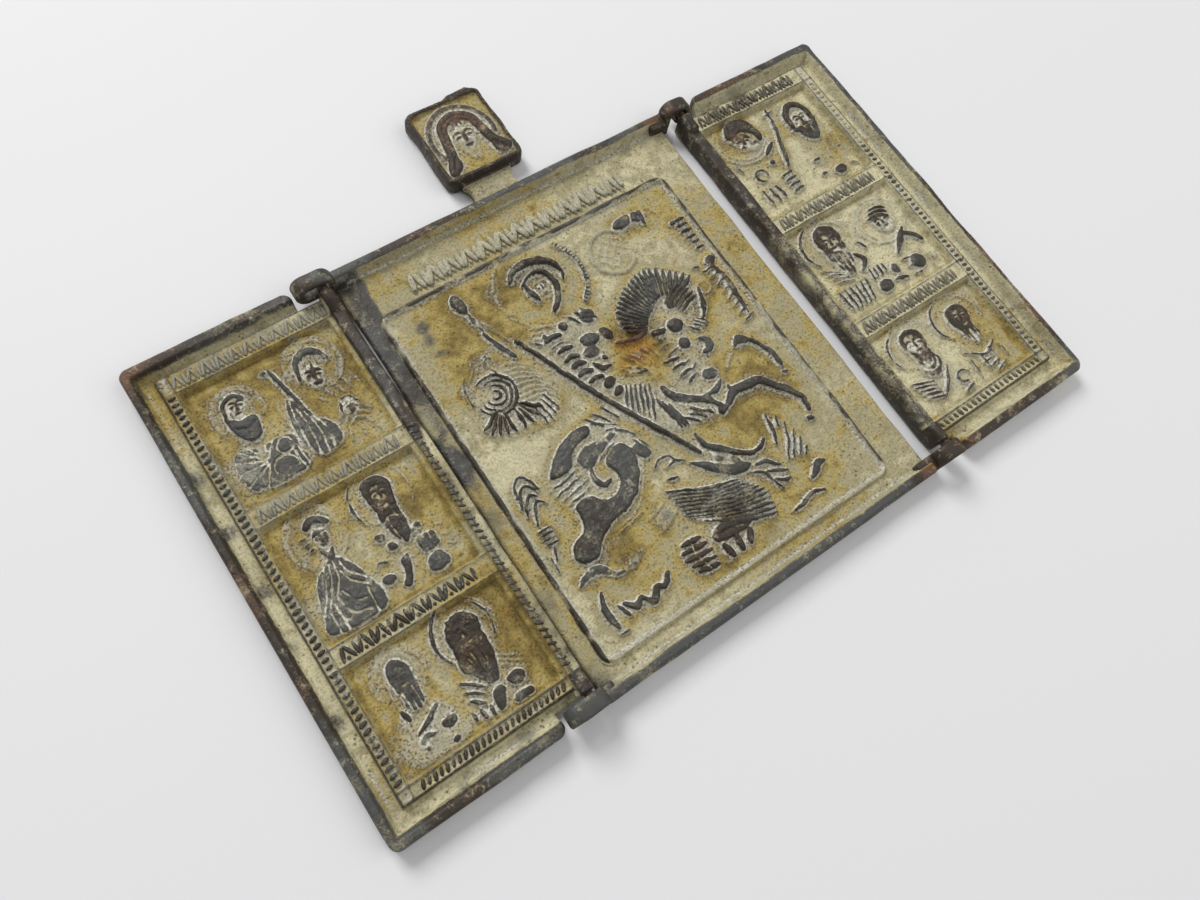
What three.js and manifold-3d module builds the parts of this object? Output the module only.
// A small cast travel icon of three leaves, lying open and face up.
// Millimetres. X runs across the leaves, +Y points to the finial, +Z is up out of the faces.
// The origin is the middle of the centre leaf's back, and every back lies on z = 0.

import * as THREE from 'three';
import * as BufferGeometryUtils from 'three/addons/utils/BufferGeometryUtils.js';
import Module from 'manifold-3d';

const wasm = await Module();
wasm.setup();

// Leaves
const leafWidth = 50.4;
const leafHeight = 61.6;
const wingWidth = 26;
const fieldThickness = 1.1;
const rimHeight = 2.6;
const rimWidth = 1.6;
const rimRounding = 0.4;
const cornerRadius = 1.5;
const rimEndRadius = 0.9;

// Hinges: curled ears on the centre leaf, pins driven into posts on the wings
const pinRadius = 0.55;
const pinClearance = 0.3;
const strapThickness = 0.8;
const earWidth = 2.2;
const earInset = 0.1;
const earTipSetback = 0.3;
const runningGap = 0.3;
const rightWingPull = 1.9;
const leftEarSlack = 1.9;
const rightEarSlack = 0.9;
const postWall = 0.32;
const pinFit = 0.08;
const postLength = 2.7;
const pinSeatDepth = 2.2;
const pinInset = 0.2;
const closedGap = 0.4;

// Wing: hinge bar, outer rim, raised panel with three sunken compartments
const barHeight = 3;
const sideRimWidth = 1.2;
const panelSideMargin = 2.9;
const panelBottomMargin = 3.4;
const panelTopMargin = 2.6;
const panelHeight = 1.9;
const bandHeight = 3;
const bottomBorder = 2;
const innerBorder = 0.6;
const notchedBorder = 1.9;
const pocketSlope = 0.25;
const compartmentHeightShares = [0.36, 0.34, 0.3];

// Saints in the compartments
const haloRadius = 3.2;
const haloBand = 0.45;
const haloRelief = 0.4;
const headRelief = 0.9;
const robeRelief = 0.7;
const robeWidth = 8.4;
const staffWidth = 0.8;

// Scene on the centre leaf
const sceneLeftMargin = 2.9;
const sceneRightMargin = 5;
const sceneBottomMargin = 4;
const sceneTopMargin = 8.6;
const sceneCornerRadius = 1.6;
const filletWidth = 0.6;
const filletHeight = 0.5;
const groundRelief = 0.5;
const bodyRelief = 0.75;
const figureRelief = 1;
const titleBandHeight = 3.8;
const titleBandRelief = 0.2;
const titleBandInset = 5.2;

// Finial
const plaqueWidth = 11.6;
const plaqueHeight = 12.4;
const plaqueThickness = 2.6;
const plaqueRounding = 0.35;
const plaqueCornerRadius = 1.3;
const plaqueBorder = 0.9;
const plaqueRecess = 0.6;
const plaqueOffset = 0.4;
const neckWidth = 6.4;
const neckFlare = 0.5;
const neckLength = 3.4;
const neckThickness = 1.3;
const castingBumpHeight = 0.5;

// How far a joined piece is sunk into what carries it, and how far a cut runs past a face
const overrun = 0.5;

// Facets
const roundSteps = 16;
const cornerSteps = 3;

// Places worked out from the sizes above
const halfWidth = leafWidth / 2;
const halfHeight = leafHeight / 2;
const axisHeight = rimHeight + closedGap / 2;
const boreRadius = pinRadius + pinFit;
const postRadius = boreRadius + postWall;
const cavityRadius = pinRadius + pinClearance;
const earRadius = cavityRadius + strapThickness;
const barReach = halfHeight - earWidth - runningGap;

// Each hinge: its side, its axis, and the ear's slack inboard and outboard of the pin.
// The left wing is pushed in against the leaf and the right wing is pulled out.
const pushedInAxis = halfWidth + runningGap + postRadius;
const leftHinge = { side: -1, axis: pushedInAxis, inboard: 0, outboard: leftEarSlack };
const rightHinge = { side: 1, axis: pushedInAxis + rightWingPull, inboard: rightEarSlack, outboard: 0 };

// Worn copper alloy under a pale and ochre patina
const finishes = {
  leaf: { color: 0x77705a, roughness: 0.55, metalness: 0.6 },
  wing: { color: 0x736b52, roughness: 0.55, metalness: 0.6 },
  pin: { color: 0x7c4c38, roughness: 0.45, metalness: 0.8 },
};

function toSolid(geometry) {
  const bare = geometry.clone();
  bare.deleteAttribute('normal');
  bare.deleteAttribute('uv');
  const merged = BufferGeometryUtils.mergeVertices(bare);
  return new wasm.Manifold(new wasm.Mesh({
    numProp: 3,
    vertProperties: new Float32Array(merged.attributes.position.array),
    triVerts: new Uint32Array(merged.index.array),
  }));
}

function toMesh(solid, name, finish) {
  const result = solid.getMesh();
  const geometry = new THREE.BufferGeometry();
  geometry.setAttribute('position', new THREE.BufferAttribute(result.vertProperties, 3));
  geometry.setIndex(new THREE.BufferAttribute(result.triVerts, 1));
  geometry.computeVertexNormals();
  const mesh = new THREE.Mesh(geometry, new THREE.MeshStandardMaterial(finish));
  mesh.name = name;
  return mesh;
}

// An upright slab over an outline of [x, y] points, its edges eased by rounding
function slab(points, low, high, rounding = 0) {
  const shape = new THREE.Shape(points.map(([x, y]) => new THREE.Vector2(x, y)));
  const eased = rounding > 0;
  const geometry = new THREE.ExtrudeGeometry(shape, {
    depth: high - low - 2 * rounding,
    bevelEnabled: eased,
    bevelThickness: rounding,
    bevelSize: rounding,
    bevelOffset: -rounding,
    bevelSegments: 1,
    steps: 1,
  });
  geometry.translate(0, 0, low + rounding);
  return toSolid(geometry);
}

function joinAll(solids) {
  return solids.reduce((whole, next) => whole.add(next));
}

function cutAll(whole, cutters) {
  return cutters.reduce((rest, cutter) => rest.subtract(cutter), whole);
}

// Points along an arc, both ends included, angles in turns
function arc(x, y, radius, from, to, steps, squash = 1) {
  const points = [];
  for (let i = 0; i <= steps; i += 1) {
    const angle = 2 * Math.PI * (from + (to - from) * i / steps);
    points.push([x + radius * Math.cos(angle), y + radius * squash * Math.sin(angle)]);
  }
  return points;
}

function oval(x, y, radius, squash = 1, steps = roundSteps) {
  return arc(x, y, radius, 0, 1, steps, squash).slice(0, -1);
}

function roundedRectangle(left, bottom, right, top, radius) {
  return [
    ...arc(right - radius, top - radius, radius, 0, 1 / 4, cornerSteps),
    ...arc(left + radius, top - radius, radius, 1 / 4, 1 / 2, cornerSteps),
    ...arc(left + radius, bottom + radius, radius, 1 / 2, 3 / 4, cornerSteps),
    ...arc(right - radius, bottom + radius, radius, 3 / 4, 1, cornerSteps),
  ];
}

function rectangle(left, bottom, right, top) {
  return [[left, bottom], [right, bottom], [right, top], [left, top]];
}

// A bar of even width from one point to another, with square ends
function strip([x0, y0], [x1, y1], width) {
  const length = Math.hypot(x1 - x0, y1 - y0);
  const sideX = -(y1 - y0) / length * width / 2;
  const sideY = (x1 - x0) / length * width / 2;
  return [
    [x0 + sideX, y0 + sideY],
    [x0 - sideX, y0 - sideY],
    [x1 - sideX, y1 - sideY],
    [x1 + sideX, y1 + sideY],
  ];
}

function mirrorX(points, side) {
  return points.map(([x, y]) => [x * side, y]);
}

// A standing ring of strap over an outline with a hole
function raisedRing(outer, inner, low, high) {
  return slab(outer, low, high).subtract(slab(inner, low - overrun, high + overrun));
}

// Relief raised out of the flat field
function raised(points, relief) {
  return slab(points, fieldThickness - overrun, fieldThickness + relief);
}

// One ear: an arm that carries the rim outwards, and a strap that rises from it, arches over
// the pin and curls back beneath it
function ear(hinge, end) {
  const near = hinge.axis - hinge.inboard;
  const far = hinge.axis + hinge.outboard;
  const outside = [
    [near + earTipSetback, axisHeight - earRadius],
    ...arc(far, axisHeight, earRadius, -1 / 4, 1 / 4, roundSteps / 2),
    ...arc(near, axisHeight, earRadius, 1 / 4, 1 / 2, roundSteps / 4),
    [near - earRadius, 0],
  ];
  const inside = [
    [near - cavityRadius, 0],
    ...arc(near, axisHeight, cavityRadius, 1 / 2, 1 / 4, roundSteps / 4),
    ...arc(far, axisHeight, cavityRadius, 1 / 4, -1 / 4, roundSteps / 2),
    [near + earTipSetback, axisHeight - cavityRadius],
  ];
  const leg = near - cavityRadius - strapThickness / 2;
  const arm = rectangle(halfWidth - rimWidth, 0, leg, rimHeight - rimRounding / 2);
  const solids = [[...outside, ...inside], arm].map((points) => {
    const shape = new THREE.Shape(
      mirrorX(points, hinge.side).map(([x, z]) => new THREE.Vector2(x, z)),
    );
    const depth = earWidth - earInset;
    const geometry = new THREE.ExtrudeGeometry(shape, { depth, bevelEnabled: false });
    geometry.rotateX(Math.PI / 2);
    geometry.translate(0, end > 0 ? halfHeight - earInset : -halfHeight + earWidth, 0);
    return toSolid(geometry);
  });
  return joinAll(solids);
}

// The scene is drawn on squared paper, forty squares across its panel
const scene = {
  left: -halfWidth + sceneLeftMargin,
  right: halfWidth - sceneRightMargin,
  bottom: -halfHeight + sceneBottomMargin,
  top: halfHeight - sceneTopMargin,
};
const squaresAcross = 40;
const square = (scene.right - scene.left) / squaresAcross;

function onScene(shares) {
  return shares.map(([x, y]) => [scene.left + x * square, scene.bottom + y * square]);
}

// Outlines in squares from the panel's lower left corner, a share of its width
const horseBodyShares = [
  [4.6, 17.6], [7, 20.6], [9.6, 22.6], [13.4, 23.4], [17, 22.6], [21.5, 22.5], [24.5, 27],
  [27.6, 29], [29, 24.6], [30.6, 21.4], [30, 18.4], [27, 16.8], [22, 16.4], [16.8, 17.2],
  [14.4, 14], [10.6, 12.6], [7.4, 12], [5.4, 9.8], [3.4, 11], [3.8, 13], [6.6, 15],
];
const horseHeadShares = [
  [26, 31], [29, 32], [33.6, 32], [36.4, 31.6], [34, 28], [33, 25.6], [31.6, 22.8],
  [29.6, 23.4], [28, 25.4], [27.6, 28.4],
];
const maneShares = [
  [23.4, 30], [24, 33], [26, 35.4], [29.4, 36.4], [32.6, 35.4], [35.2, 32.8], [32.6, 32.6],
  [29.6, 33.4], [27, 32.2], [25.4, 30],
];
const farForelegShares = [
  [29, 20.6], [32, 22], [34.6, 23.4], [36.8, 20.4], [38.2, 18], [38, 16], [36.8, 16.2],
  [36.6, 18.4], [34.4, 21], [31, 19.6],
];
const nearForelegShares = [
  [25.4, 15.6], [29.6, 18.2], [33.6, 17.8], [36.6, 14.6], [37.6, 11.6], [36.8, 9.4],
  [35.6, 10], [36, 12.4], [33.2, 15.8], [28, 16],
];
const farHindlegShares = [
  [4, 8.6], [6, 9.6], [9, 8], [13.4, 9], [12.4, 7.6], [8.6, 6.6], [5, 7.2], [2.4, 7],
];
const tailShares = [
  [4.6, 19], [2.6, 22.6], [1.4, 20.6], [1, 16.6], [1.6, 12.4], [2.6, 10.6], [3, 14.6],
];
const cloakShares = [
  [15.2, 36], [12.8, 34], [10, 36.6], [6, 36.4], [3.4, 33.8], [3, 30.4], [5, 27], [8.4, 25.4],
  [12, 25.8], [15.4, 28.4], [17, 31.4],
];
const torsoShares = [
  [13, 36.2], [17.6, 37], [22, 36.4], [22.8, 34], [21.8, 31.6], [23.4, 30.4], [28, 29.4],
  [28, 27.8], [23, 27.4], [20.6, 25.6], [16.4, 25.6], [15.6, 31],
];
const skirtShares = [
  [16.4, 26], [21, 26], [24, 22.4], [23.6, 17.4], [21.4, 16.4], [18.4, 20.4],
];
const dragonNeckShares = [
  [20.4, 13], [22, 12.6], [22.4, 16.2], [23.4, 15.8], [23.8, 13.4], [26.4, 11.2], [29.8, 11.2],
  [29.2, 10.2], [26, 9.6], [23.6, 8.8], [21.4, 11.2],
];
const dragonWingShares = [
  [16, 11.8], [20.4, 10.2], [25, 8.6], [29, 9], [30.6, 6.4], [27.6, 4.4], [25, 2.4],
  [21, 5.6], [17.4, 8.4],
];
const dragonTailShares = [
  [26, 2.2], [30, 4], [33.4, 5.6], [33.8, 4.4], [31, 3], [33, 2], [32.6, 1.2], [28, 1.4],
];
const dragonPawShares = [
  [13.2, 1.6], [13, 5.2], [16, 5.6], [16.6, 2.4], [18.2, 1.6], [17.4, 5.2], [21, 5], [24.4, 4.6],
  [24.6, 3.2], [21.4, 3], [20.8, 1.2], [16.4, 0.9],
];
const coilShares = [
  [2.4, 1.6], [2.2, 6], [3.4, 6.2], [4, 4.2], [6.4, 4.8], [8, 3.2], [11, 4.6], [11, 3.2],
  [8.6, 1.8], [5.6, 2.6],
];
const reedShares = [
  [30, 7.4], [30.6, 11], [32, 13.8], [33.6, 12], [34, 8.6], [32.4, 7],
];
const heavenShares = [
  [30.4, 43], [31.2, 44.4], [35.6, 44.6], [38.8, 41.4], [39.2, 25], [37.4, 24.4], [37.6, 34],
  [36.8, 40.4], [35, 42], [33, 42.4],
];
const lanceHeadShares = [
  [8, 44.4], [7.4, 43], [8.4, 41.6], [9.6, 37.4], [10.6, 34.6], [12, 35], [11.4, 39],
  [10.2, 43.6], [9.2, 45],
];
const lanceStartShares = [10.6, 37];
const lanceEndShares = [22.6, 12.6];
const lanceWidth = 0.75;
const riderHeadShares = [18.4, 41.2];
const riderHaloShares = [18.6, 41];
const riderHeadRadius = 2.5;
const riderHeadSquashShare = 1.35;
const riderHaloRadius = 6.2;
const riderHaloBand = 0.6;
const shieldShares = [28.8, 40.6];
const shieldRadius = 2.9;

function halo(x, y, radius, band) {
  return raisedRing(
    oval(x, y, radius),
    oval(x, y, radius - band),
    fieldThickness - overrun,
    fieldThickness + haloRelief,
  );
}

function sceneRelief() {
  const [haloSpot] = onScene([riderHaloShares]);
  const [headSpot] = onScene([riderHeadShares]);
  const [shieldSpot] = onScene([shieldShares]);
  const [lanceStart] = onScene([lanceStartShares]);
  const [lanceEnd] = onScene([lanceEndShares]);
  const low = [farHindlegShares, farForelegShares, tailShares, dragonTailShares, coilShares,
    reedShares, heavenShares];
  const middle = [horseBodyShares, cloakShares, nearForelegShares, dragonWingShares,
    dragonPawShares, maneShares];
  const high = [horseHeadShares, torsoShares, skirtShares, dragonNeckShares, lanceHeadShares];
  return [
    ...low.map((shares) => raised(onScene(shares), groundRelief)),
    ...middle.map((shares) => raised(onScene(shares), bodyRelief)),
    ...high.map((shares) => raised(onScene(shares), figureRelief)),
    raised(strip(lanceStart, lanceEnd, lanceWidth), figureRelief),
    halo(...haloSpot, riderHaloRadius, riderHaloBand),
    raised(oval(...headSpot, riderHeadRadius, riderHeadSquashShare), figureRelief),
    raised(oval(...shieldSpot, shieldRadius), groundRelief),
  ];
}

// The plaque with a haloed head, on a neck cast in one with the top rim
function finial() {
  const bottom = halfHeight + neckLength;
  const left = plaqueOffset - plaqueWidth / 2;
  const right = left + plaqueWidth;
  const top = bottom + plaqueHeight;
  const floor = plaqueThickness - plaqueRecess;
  const neck = slab([
    [-neckWidth / 2 - neckFlare, halfHeight - rimWidth / 2],
    [neckWidth / 2 + neckFlare, halfHeight - rimWidth / 2],
    [neckWidth / 2, halfHeight + neckLength / 2],
    [neckWidth / 2 + neckFlare, bottom + overrun],
    [-neckWidth / 2 - neckFlare, bottom + overrun],
    [-neckWidth / 2, halfHeight + neckLength / 2],
  ], 0, neckThickness);
  const block = slab(
    roundedRectangle(left, bottom, right, top, plaqueCornerRadius),
    0,
    plaqueThickness,
    plaqueRounding,
  );
  const bump = slab(
    rectangle(plaqueOffset, top - overrun, right - plaqueCornerRadius, top + castingBumpHeight),
    0,
    plaqueThickness - plaqueRounding,
  );
  const pocket = slab(
    rectangle(left + plaqueBorder, bottom + plaqueBorder, right - plaqueBorder, top - plaqueBorder),
    floor,
    plaqueThickness + overrun,
  );
  const inside = { width: plaqueWidth - 2 * plaqueBorder, height: plaqueHeight - 2 * plaqueBorder };
  const hairRadius = inside.width / 3;
  const hairLine = top - plaqueBorder - hairRadius - plaqueBorder / 2;
  const hair = slab([
    ...arc(plaqueOffset, hairLine, hairRadius, 0, 1 / 2, roundSteps / 2),
    [left + plaqueBorder, bottom + plaqueBorder],
    [left + plaqueBorder + inside.width / 4, bottom + plaqueBorder],
    [plaqueOffset, bottom + plaqueBorder + inside.height / 4],
    [right - plaqueBorder - inside.width / 4, bottom + plaqueBorder],
    [right - plaqueBorder, bottom + plaqueBorder],
  ], floor - overrun, plaqueThickness);
  const face = slab(
    oval(plaqueOffset, hairLine - hairRadius / 2, hairRadius * 2 / 3, 3 / 2),
    floor - overrun,
    plaqueThickness + plaqueRecess / 2,
  );
  return joinAll([joinAll([neck, block, bump]).subtract(pocket), hair, face]);
}

function centreLeaf() {
  const block = slab(
    rectangle(-halfWidth, -halfHeight, halfWidth, halfHeight),
    0,
    rimHeight,
    rimRounding,
  );
  const field = slab(
    rectangle(
      -halfWidth - overrun,
      -halfHeight + rimWidth,
      halfWidth + overrun,
      halfHeight - rimWidth,
    ),
    fieldThickness,
    rimHeight + overrun,
  );
  const frameOutside = roundedRectangle(
    scene.left - filletWidth,
    scene.bottom - filletWidth,
    scene.right + filletWidth,
    scene.top + filletWidth,
    sceneCornerRadius,
  );
  const frameInside = roundedRectangle(
    scene.left,
    scene.bottom,
    scene.right,
    scene.top,
    sceneCornerRadius - filletWidth,
  );
  const fillet = raisedRing(
    frameOutside,
    frameInside,
    fieldThickness - overrun,
    fieldThickness + filletHeight,
  );
  const titleBand = raised(
    rectangle(
      scene.left + titleBandInset,
      scene.top + filletWidth,
      scene.right - titleBandInset,
      scene.top + filletWidth + titleBandHeight,
    ),
    titleBandRelief,
  );
  const ears = [leftHinge, rightHinge].flatMap((hinge) => [-1, 1].map((end) => ear(hinge, end)));
  return joinAll([block.subtract(field), fillet, titleBand, ...sceneRelief(), ...ears, finial()]);
}

// Compartments of one wing, from the top, in the wing's own u (out from its inner edge) and y
function compartments() {
  const top = halfHeight - panelTopMargin;
  const bottom = -halfHeight + panelBottomMargin;
  const bands = compartmentHeightShares.length * bandHeight;
  const room = top - bottom - bands - bottomBorder;
  let edge = top;
  return compartmentHeightShares.map((share) => {
    const ceiling = edge - bandHeight;
    edge = ceiling - room * share;
    return {
      left: 2 * postRadius + innerBorder,
      right: wingWidth - panelSideMargin - notchedBorder,
      bottom: edge,
      top: ceiling,
    };
  });
}

// Halo centres in each compartment, as shares of its width and height from the inner lower corner
const leftSaintShares = [
  [[0.24, 0.74], [0.75, 0.71]],
  [[0.32, 0.7], [0.74, 0.72]],
  [[0.31, 0.73], [0.73, 0.66]],
];
const rightSaintShares = [
  [[0.24, 0.76], [0.74, 0.72]],
  [[0.25, 0.74], [0.73, 0.7]],
  [[0.25, 0.72], [0.72, 0.72]],
];
const staffFootShares = [0.42, 0.24];
const staffTopShares = [0.54, 0.94];
const childHeadShares = [0.16, 0.36];
const childHeadRadius = 1.4;
const headRadiusShare = 0.56;
const headSquashShare = 1.3;
const shoulderDropShare = 1.1;

function saint(spot, room) {
  const [x, y] = spot;
  const headRadius = haloRadius * headRadiusShare;
  const shoulder = y - haloRadius * shoulderDropShare;
  const left = Math.max(x - robeWidth / 2, room.left);
  const right = Math.min(x + robeWidth / 2, room.right);
  const slope = (shoulder - room.bottom) / 2;
  const robe = [
    [left, room.bottom],
    [right, room.bottom],
    [right, shoulder - slope],
    [x + headRadius, shoulder],
    [x, y],
    [x - headRadius, shoulder],
    [left, shoulder - slope],
  ];
  return { x, y, headRadius, robe };
}

// One wing, drawn as the right one in u and y, then placed on its side of the leaf
function wing(hinge, saintShares) {
  const innerEdge = hinge.axis - postRadius;
  const place = (points) => points.map(([u, y]) => [hinge.side * (innerEdge + u), y]);
  const slack = Math.max(hinge.inboard, hinge.outboard);
  const notch = postRadius + slack + earRadius + runningGap;
  const panelRight = wingWidth - panelSideMargin;
  const outline = [
    [0, -barReach],
    [notch, -barReach],
    ...arc(notch + rimEndRadius, -halfHeight + rimEndRadius, rimEndRadius, 1 / 2, 3 / 4, cornerSteps),
    ...arc(wingWidth - cornerRadius, -halfHeight + cornerRadius, cornerRadius, -1 / 4, 0, cornerSteps),
    ...arc(wingWidth - cornerRadius, halfHeight - cornerRadius, cornerRadius, 0, 1 / 4, cornerSteps),
    ...arc(notch + rimEndRadius, halfHeight - rimEndRadius, rimEndRadius, 1 / 4, 1 / 2, cornerSteps),
    [notch, barReach],
    [0, barReach],
  ];
  const block = slab(place(outline), 0, rimHeight, rimRounding);
  const field = slab(
    place(roundedRectangle(
      -overrun,
      -halfHeight + rimWidth,
      wingWidth - sideRimWidth,
      halfHeight - rimWidth,
      cornerRadius,
    )),
    fieldThickness,
    rimHeight + overrun,
  );
  const bar = slab(
    place(rectangle(0, -barReach, 2 * postRadius, barReach)),
    0,
    barHeight,
    rimRounding,
  );
  const panel = slab(
    place(rectangle(
      postRadius,
      -halfHeight + panelBottomMargin,
      panelRight,
      halfHeight - panelTopMargin,
    )),
    fieldThickness - overrun,
    panelHeight,
  );
  const rooms = compartments();
  const cutters = rooms.map((room) => slab(
    place(rectangle(
      room.left - pocketSlope,
      room.bottom - pocketSlope,
      room.right + pocketSlope,
      room.top + pocketSlope,
    )),
    fieldThickness,
    fieldThickness + 2 * panelHeight,
    pocketSlope,
  ));
  const relief = [];
  rooms.forEach((room, row) => {
    const width = room.right - room.left;
    const height = room.top - room.bottom;
    const spot = ([x, y]) => [room.left + x * width, room.bottom + y * height];
    saintShares[row].forEach((shares) => {
      const figure = saint(spot(shares), room);
      relief.push(raised(place(figure.robe), robeRelief));
      relief.push(raised(place(oval(figure.x, figure.y, figure.headRadius, headSquashShare)), headRelief));
      relief.push(halo(...place([[figure.x, figure.y]])[0], haloRadius, haloBand));
    });
    if (row === 0) {
      const [childX, childY] = spot(childHeadShares);
      const staff = strip(spot(staffFootShares), spot(staffTopShares), staffWidth);
      relief.push(raised(place(oval(childX, childY, childHeadRadius)), headRelief));
      relief.push(raised(place(staff), headRelief));
    }
  });
  const posts = [-1, 1].map((end) => {
    const post = new THREE.CylinderGeometry(postRadius, postRadius, postLength, roundSteps);
    post.translate(hinge.side * hinge.axis, end * (barReach - postLength / 2), axisHeight);
    return toSolid(post);
  });
  const bores = [-1, 1].map((end) => {
    const length = pinSeatDepth + pinFit + overrun;
    const bore = new THREE.CylinderGeometry(boreRadius, boreRadius, length, roundSteps);
    bore.translate(hinge.side * hinge.axis, end * (barReach + overrun - length / 2), axisHeight);
    return toSolid(bore);
  });
  const plate = joinAll([block.subtract(field), bar, panel, ...posts]);
  return cutAll(joinAll([cutAll(plate, cutters), ...relief]), bores);
}

// One hinge pin, seated in its post and standing out through the ear
function hingePin(name, hinge, end) {
  const reach = halfHeight - pinInset;
  const length = reach - barReach + pinSeatDepth;
  const geometry = new THREE.CylinderGeometry(pinRadius, pinRadius, length, roundSteps);
  const mesh = new THREE.Mesh(geometry, new THREE.MeshStandardMaterial(finishes.pin));
  mesh.name = name;
  mesh.position.set(hinge.side * hinge.axis, end * (reach - length / 2), axisHeight);
  return mesh;
}

const icon = new THREE.Group();
icon.name = 'folding_travel_icon';
icon.add(toMesh(centreLeaf(), 'centre_leaf', finishes.leaf));
icon.add(toMesh(wing(leftHinge, leftSaintShares), 'left_wing', finishes.wing));
icon.add(toMesh(wing(rightHinge, rightSaintShares), 'right_wing', finishes.wing));
icon.add(hingePin('left_top_hinge_pin', leftHinge, 1));
icon.add(hingePin('left_bottom_hinge_pin', leftHinge, -1));
icon.add(hingePin('right_top_hinge_pin', rightHinge, 1));
icon.add(hingePin('right_bottom_hinge_pin', rightHinge, -1));

export default icon;
